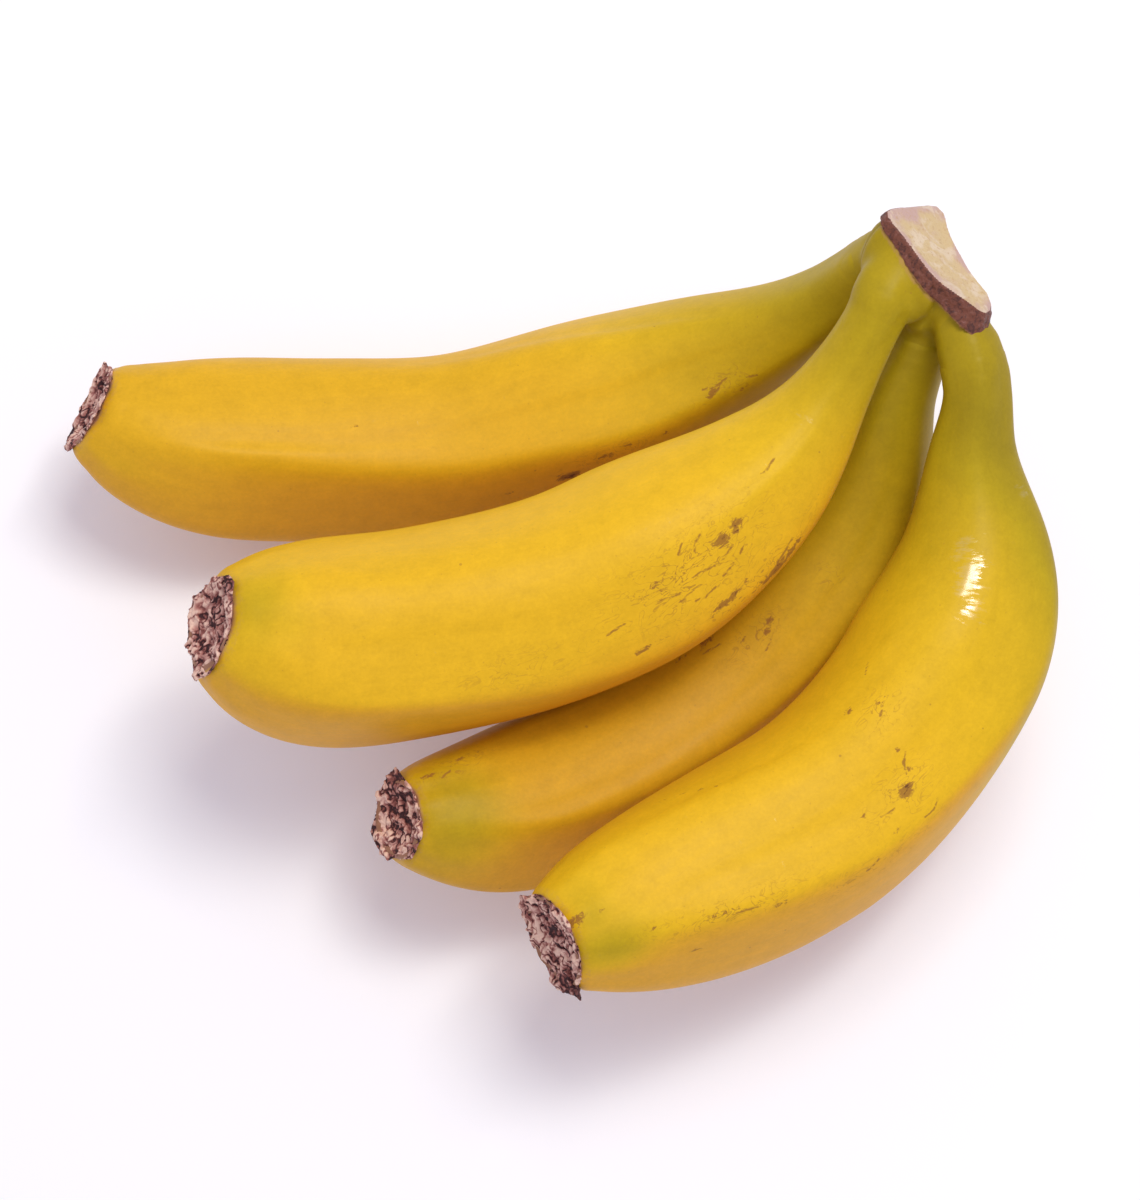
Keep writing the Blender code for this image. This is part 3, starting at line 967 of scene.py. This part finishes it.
def makeFlowerEnd(name, look, middle, heading, seed, nubs):
    shape = flowerShape
    data = remeshed(meshFrom(solidCopy(name), name), shape["voxel"])
    places = points(data)
    height = (places - middle) @ heading
    flat = places - middle - height[:, None] * heading
    reach = np.linalg.norm(flat, axis=1)
    share = reach / np.percentile(reach, 99)
    thin = (height - height.mean()) * shape["squash"]
    base = shape["rimHeight"] - shape["dish"] * fade(share, *shape["dishSteps"])
    up = np.array([0.0, 0.0, 1.0]) - heading[2] * heading
    up /= np.linalg.norm(up)
    angle = np.arctan2(flat @ np.cross(up, heading), flat @ up)
    uneven = ringNoise(angle, 1.5, seed)
    nub = sum(size * mm * np.exp(-(turnFrom(angle, degrees) / shape["nubWidth"]) ** 2)
              for degrees, size in nubs) * fade(share, *shape["nubSteps"])
    wider = shape["spread"] + shape["uneven"] * uneven + nub / reach.max()
    places = middle + flat * wider[:, None] + (thin + base)[:, None] * heading
    setPoints(data, places)
    facing = normals(data)
    offset = Vector((seed * 3.1, seed * 1.7, 0.0))
    folds, wrinkles = foldsAt(places, offset)
    broad = (shape["broadTone"] * noiseAt(places, shape["broadScale"], offset)
             - shape["hollowTone"] * fade(share, *shape["hollowSteps"]))
    front = fade(facing @ heading, *shape["frontSteps"])
    rise = shape["foldHeight"] * (folds - 0.7) + shape["wrinkleHeight"] * (wrinkles - 0.6)
    setPoints(data, places + facing * (rise * front)[:, None])
    tone = shape["tone"] + shape["foldTone"] * folds + shape["wrinkleTone"] * wrinkles + broad
    paint(data, "fold", np.clip(tone - nub / mm, 0.0, 1.0))
    newPiece(name + "_dry", data, look, "dried_flower", name)


crown = {
    "faceDirection": Vector((0.57, 0.40, 0.72)).normalized(),
    "lengthDirection": Vector((0.72, -0.67, -0.20)),
    "cutReach": (-14.5 * mm, 12.1 * mm),  # the cut's two ends, from the crown's middle
    "cutEdge": 0.75 * mm,                 # how deep the outline of the cut face may lie
    "cutVoxel": 0.25 * mm,
    "bandDepth": (2.3 * mm, 4.6 * mm),    # at the cut's two ends
    "bandSteps": (0.35, 0.70, 1.0),
    "bandLean": 0.10 * mm,                # how far each step leans outwards
    "bandFlare": 3.0 * mm,                # how far the band's wide end does
    "bandRough": 0.22 * mm,
    "roughScales": (650.0, 1500.0),
    "slicedDepth": (1.15 * mm, 0.85 * mm),   # the cut itself is smooth down to here
    "sectors": 48,                        # in which the cut's outline is looked for
    "rimSteps": (0.55, 0.98),
    "padVoxel": 0.45 * mm,
    "padTop": 1.3 * mm,                   # how far below the cut the pad inside starts
    "padSmooth": 10,
    "web": 0.7 * mm,                      # how widely the stems grow together
    "crease": 1.1 * mm,                   # depth of the creases between the stems' cushions
    "creaseWidth": 1.5 * mm,
    "cushion": 11,                        # mm of each stem's line, up into the crown
    "sleeve": 13 * mm,                    # how far the pad's skin runs down each stem
    "sleeveBack": 1.5,                    # mm by which it is lengthened into the crown
    "stemWide": 9 * mm,
    "skinReach": (2.0 * mm, 6.0 * mm),    # where the pad starts to follow the fingers' skins
    "skinGap": (-1.6 * mm, -0.8 * mm),
    "skinLift": (0.10 * mm, 0.26 * mm),   # over the skin at first, under it at its end
}


def bandDepth(across):
    # how deep the brown band is at a place along the cut
    shallow, deep = crown["bandDepth"]
    low, high = crown["cutReach"]
    return shallow + (deep - shallow) * (across - low) / (high - low)


def drawBand(cut, edges, middle, top, up, length):
    # draws the cut's outline down as the band's wall and closes it below
    low, high = crown["cutReach"]
    for share in crown["bandSteps"]:
        grown = bmesh.ops.extrude_edge_only(cut, edges=edges)["geom"]
        edges = [item for item in grown if isinstance(item, bmesh.types.BMEdge)]
        for vert in {vert for edge in edges for vert in edge.verts}:
            across = (vert.co - crownMiddle).dot(length)
            vert.co -= up * (vert.co.dot(up) - top + share * bandDepth(across))
            outward = vert.co - middle
            outward = (outward - up * outward.dot(up)).normalized()
            wideEnd = fade((across - low) / (high - low), 0.68, 1.0)
            vert.co += outward * (crown["bandLean"] + crown["bandFlare"] / 3 * wideEnd)
    bmesh.ops.holes_fill(cut, edges=edges)
    bmesh.ops.recalc_face_normals(cut, faces=cut.faces)


def outlineShare(places, middle, upward, length):
    # how near each place is to the cut's outline: 0 in the middle, 1 on it
    outward = places - np.array(middle)
    outward -= (outward @ upward)[:, None] * upward
    reach = np.linalg.norm(outward, axis=1)
    heading = np.arctan2(outward @ np.cross(upward, length), outward @ length)
    count = crown["sectors"]
    sector = np.floor((heading + math.pi) / (2 * math.pi) * count).astype(int) % count
    widest = np.array([reach[sector == k].max() for k in range(count)])
    return reach / widest[sector]


def makeCut(solid, look, up, length):
    # the cut face of the crown with its dried band
    top = max(vert.co.dot(up) for vert in solid.verts)
    cut = solid.copy()
    deeper = [face for face in cut.faces
              if min(vert.co.dot(up) for vert in face.verts) < top - crown["cutEdge"]]
    bmesh.ops.delete(cut, geom=deeper, context="FACES")
    middle = sum((vert.co for vert in cut.verts), Vector()) / len(cut.verts)
    drawBand(cut, [edge for edge in cut.edges if edge.is_boundary], middle, top, up, length)
    data = remeshed(meshFrom(cut, "cut"), crown["cutVoxel"])
    places, facing = points(data), normals(data)
    upward = np.array(up)
    depth = top - places @ upward
    across = (places - np.array(crownMiddle)) @ np.array(length)
    coarse, fine = [noiseAt(places, scale) for scale in crown["roughScales"]]
    wall = fade(depth, 0.9 * mm, 1.6 * mm)
    rise = (coarse + 0.6 * fine) * crown["bandRough"] * (0.2 + 0.8 * wall)
    setPoints(data, places + facing * rise[:, None])
    sliced = fade(facing @ upward, 0.68, 0.80) * fade(depth, *crown["slicedDepth"])
    below = np.maximum(np.clip(depth / bandDepth(across), 0.0, 1.2), 0.3)
    paint(data, "below", below * (1.0 - sliced))
    nearRim = outlineShare(places, middle, upward, np.array(length))
    paint(data, "rim", fade(nearRim, *crown["rimSteps"]))
    newPiece("crown_cut", data, look, "cut_crown", "crown")


def stemSleeve(name, up):
    # the start of a stem, and the places up its line into the crown
    neck = solidCopy(name)
    run, centres = straighten(neck)[:2]
    start = Vector(centres[0])
    cutAt = int(np.searchsorted(run, crown["sleeve"]))
    back = Vector(centres[0] - centres[1]).normalized()
    climb = (back * 0.5 + up).normalized()
    line = [start + climb * step * mm for step in range(crown["cushion"])]
    capRing = [vert for vert in neck.verts if abs((vert.co - start).dot(back)) < 0.2 * mm
               and (vert.co - start).length < crown["stemWide"]]
    bmesh.ops.translate(neck, verts=capRing, vec=back * crown["sleeveBack"] * mm)
    cutOff(neck, Vector(centres[cutAt]), Vector(centres[cutAt + 1] - centres[cutAt]))
    return meshFrom(neck, "neck"), line


def grownTogether(data):
    # swelling, joining and shrinking again fills the clefts between the stems
    for swell in (crown["web"], -crown["web"]):
        data = remeshed(data, crown["padVoxel"])
        setPoints(data, points(data) + normals(data) * swell)
    data = remeshed(data, crown["padVoxel"])
    smooth = bmesh.new()
    smooth.from_mesh(data)
    for _ in range(crown["padSmooth"]):
        bmesh.ops.smooth_vert(smooth, verts=smooth.verts, factor=0.5, use_axis_x=True,
                              use_axis_y=True, use_axis_z=True)
    smooth.to_mesh(data)
    smooth.free()
    return data


def followSkins(places, creased, crease, fingers):
    # down the sleeves the pad goes over into the fingers' skins, with their place and tones,
    # also their painted shade
    shape = crown
    graph = bpy.context.evaluated_depsgraph_get()
    skins = [(BVHTree.FromObject(finger, graph), straightOf(finger.data),
              [polygon.vertices[0] for polygon in finger.data.polygons],
              valuesOf(finger.data, "ripe"), valuesOf(finger.data, "shadeDarkening")) for finger in fingers]
    moved = places.copy()
    flow = np.zeros((len(places), 3))
    ripe, shadeDarkening, loose = np.zeros((3, len(places)))
    for k, place in enumerate(places):
        near = [(skin[0].find_nearest(Vector(place)), skin) for skin in skins]
        (spot, direction, index, gap), skin = min(near, key=lambda item: item[0][3])
        nearest = skin[2][index]
        flow[k] = skin[1][nearest]
        along = flow[k][0]
        pull = fade(along, *shape["skinReach"]) * fade(-gap, *shape["skinGap"])
        pull = max(pull, fade(along, 9 * mm, 12 * mm))
        over, drop = shape["skinLift"]
        lift = over - drop * fade(along, 4 * mm, 12 * mm)
        moved[k] = (1 - pull) * creased[k] + pull * (np.array(spot) + np.array(direction) * lift)
        ripe[k] = skin[3][nearest] - 0.10 * crease[k] * (1 - pull)
        shadeDarkening[k] = skin[4][nearest]
        loose[k] = 1 - pull
    return moved, flow, ripe, shadeDarkening, loose


def makePad(solid, look, fingers, up, length):
    # the peel of the crown, with a sleeve over the start of each stem
    top = max(vert.co.dot(up) for vert in solid.verts)
    cutOff(solid, up * (top - crown["padTop"]), up)
    merged = bmesh.new()
    merged.from_mesh(meshFrom(solid, "pad"))
    lines = []
    for name in fingerNames:
        neck, line = stemSleeve(name, up)
        merged.from_mesh(neck)
        lines.append(line)
    data = grownTogether(meshFrom(merged, "pad"))
    places = points(data)
    # a crease runs up between each two stems' cushions
    apart = np.sort([np.min([np.linalg.norm(places - np.array(spot), axis=1) for spot in line],
                            axis=0) for line in lines], axis=0)
    crease = np.exp(-((apart[1] - apart[0]) / crown["creaseWidth"]) ** 2)
    creased = places - normals(data) * (crease * crown["crease"])[:, None]
    moved, flow, ripe, shadeDarkening, loose = followSkins(places, creased, crease, fingers)
    setPoints(data, moved)
    paint(data, "straight", flow)
    # painted shade: the fingers' darkening and the ochre undersides carry on over the pad
    paint(data, "ripe", ripe)
    paint(data, "shadeDarkening", shadeDarkening)
    paint(data, "shaded", shadedSide(normals(data), flow[:, 0], 0.0))
    across = (moved - np.array(crownMiddle)) @ np.array(length)
    gap = top - moved @ np.array(up) - bandDepth(across)
    end = crown["cutReach"][1]
    inside = fade(across, end, end - 2 * mm)
    paint(data, "dryEdge", 0.5 * fade(gap, 1.3 * mm, 0.2 * mm) * loose * inside)
    newPiece("crown_pad", data, look, "peel", "crown")


def makeCrown(peelLook, cutLook, fingers):
    up = crown["faceDirection"]
    thick = crown["lengthDirection"].cross(up).normalized()
    length = up.cross(thick).normalized()
    solid = solidCopy("crown")
    makeCut(solid, cutLook, up, length)
    makePad(solid, peelLook, fingers, up, length)


def makeFloorPiece(look):
    sheet = bmesh.new()
    bmesh.ops.create_grid(sheet, x_segments=1, y_segments=1, size=studio["floorSize"] / 2)
    bmesh.ops.translate(sheet, verts=sheet.verts, vec=(0.0, 0.0, -0.05 * mm))
    data = meshFrom(sheet, "floor")
    data.materials.append(look)
    linked(bpy.data.objects.new("floor", data))


setCamera()
setLights()
makeFloorPiece(makeFloor())
print("camera, light and floor set")

peelLook, driedLook, cutLook = makePeel(), makeDried(), makeCutFace()
made = [makeFinger(name, peelLook) for name in fingerNames]
print("fingers made")
for k, (finger, middle, heading) in enumerate(made):
    makeFlowerEnd(f"blossom_end_{k + 1}", driedLook, middle, heading, k + 1,
                  fingerLooks[fingerNames[k]]["nubs"])
print("flower ends made")
makeCrown(peelLook, cutLook, [finger for finger, middle, heading in made])
print("crown made")
